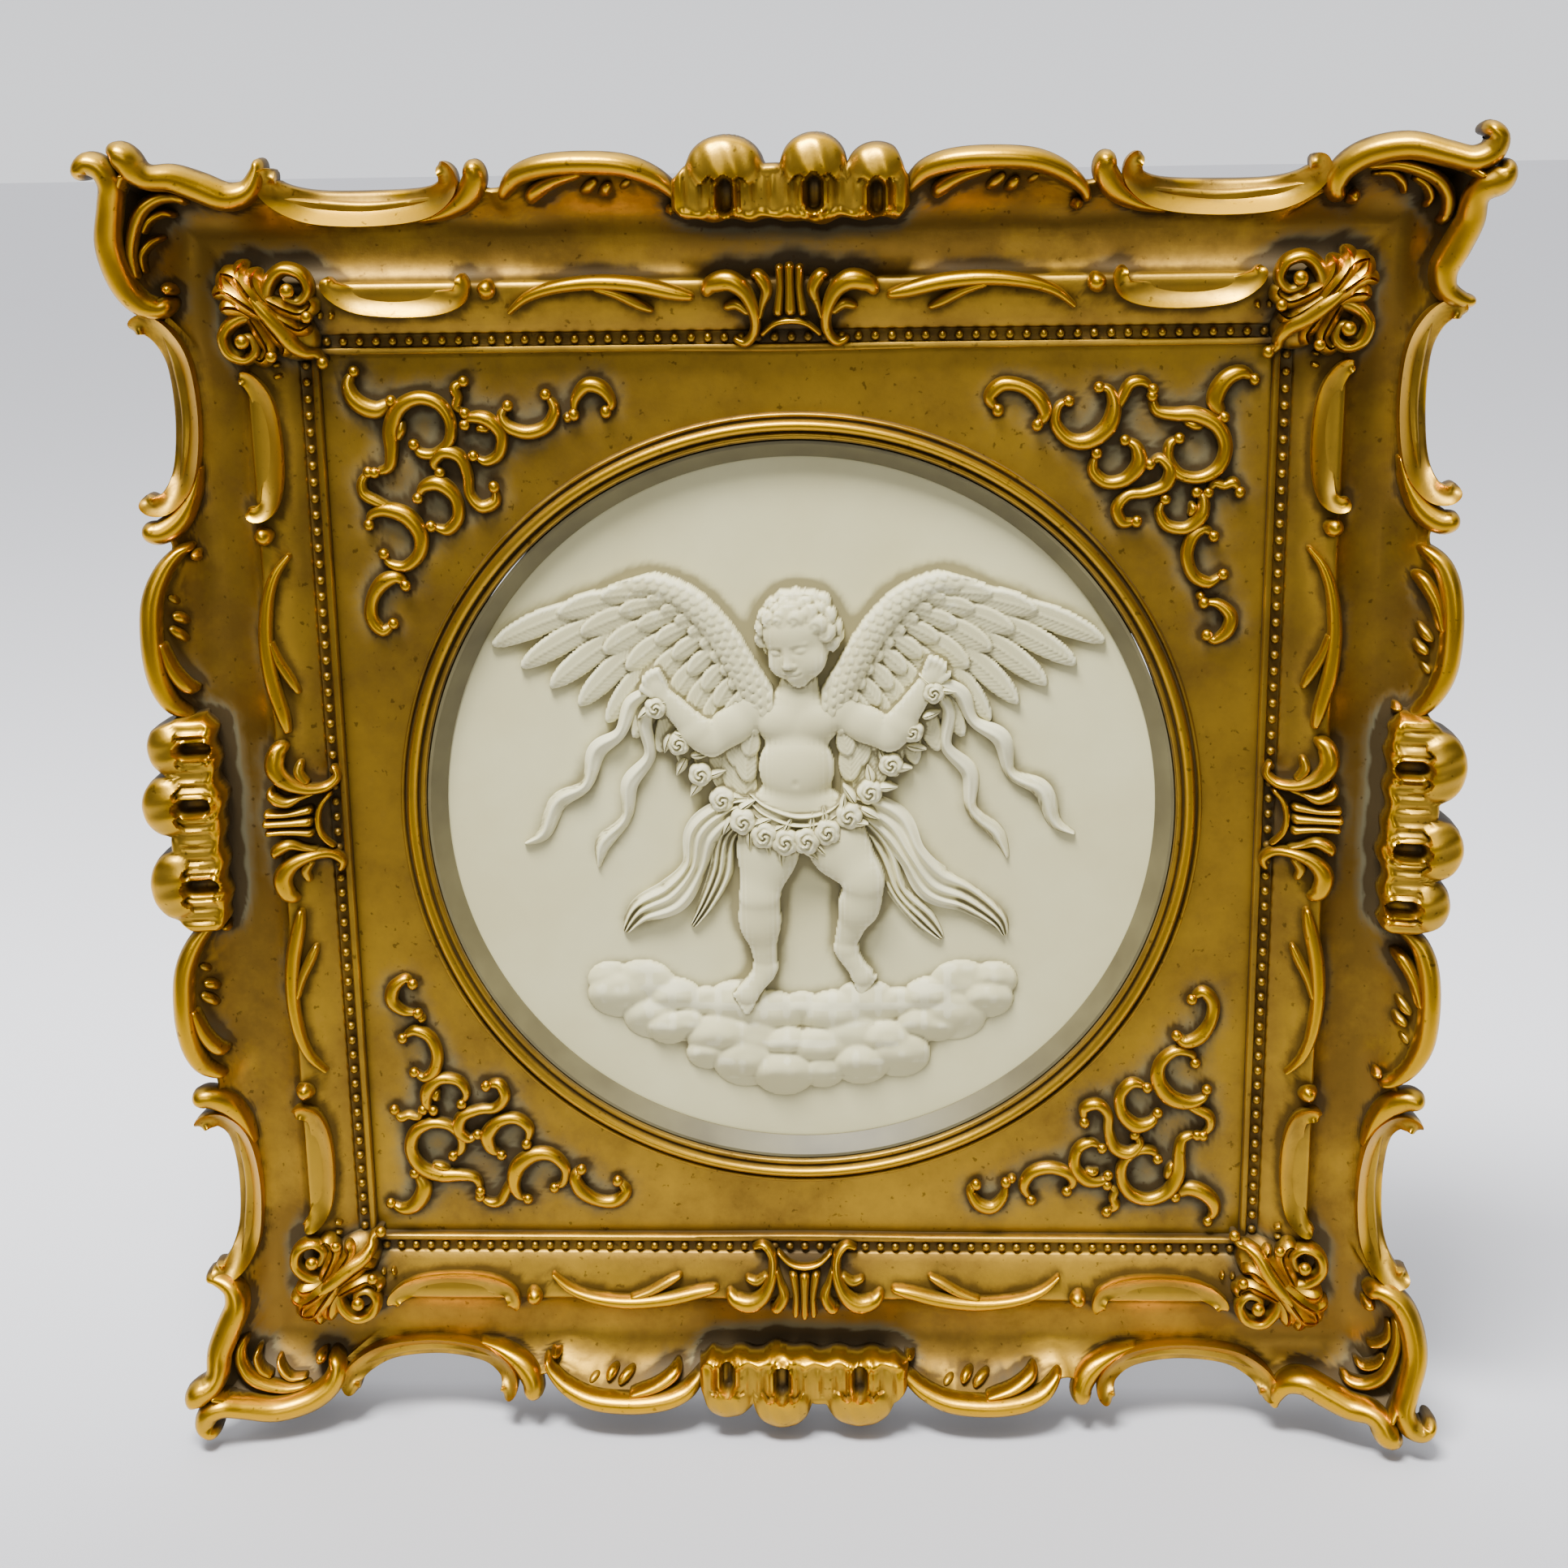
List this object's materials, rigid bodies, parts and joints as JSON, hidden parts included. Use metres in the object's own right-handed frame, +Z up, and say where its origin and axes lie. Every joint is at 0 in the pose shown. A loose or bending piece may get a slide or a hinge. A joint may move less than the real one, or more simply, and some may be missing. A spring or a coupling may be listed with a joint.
{
  "type": "cherub wall plaque",
  "caption": "Square carved gilt wall frame with C-scroll rim, beaded sight edge and scrolled spandrels round a cream relief roundel of a winged child with a rose swag.",
  "frame": {"origin": "middle of the top rail's flat back face, on the wall plane", "axes": "+Z up, +X to the viewer's right, the plaque faces -Y and the wall lies at +Y"},
  "size_m": [0.4326, 0.053, 0.4396],
  "materials": {
    "frame_gilt": "aged water gilding over red bole, burnished on the scrolls, brown glaze in the hollows",
    "panel_gilt": "aged gilding with grey-green dirt round the applied scrolls",
    "liner_paint": "smooth grey-green paint, satin",
    "relief_cream": "matt cream cast composition"
  },
  "bodies": {
    "root": {"frame": "frame_gilt", "spandrel_panel": "panel_gilt", "sight_liner": "liner_paint", "relief_roundel": "relief_cream"}
  },
  "joints": []
}
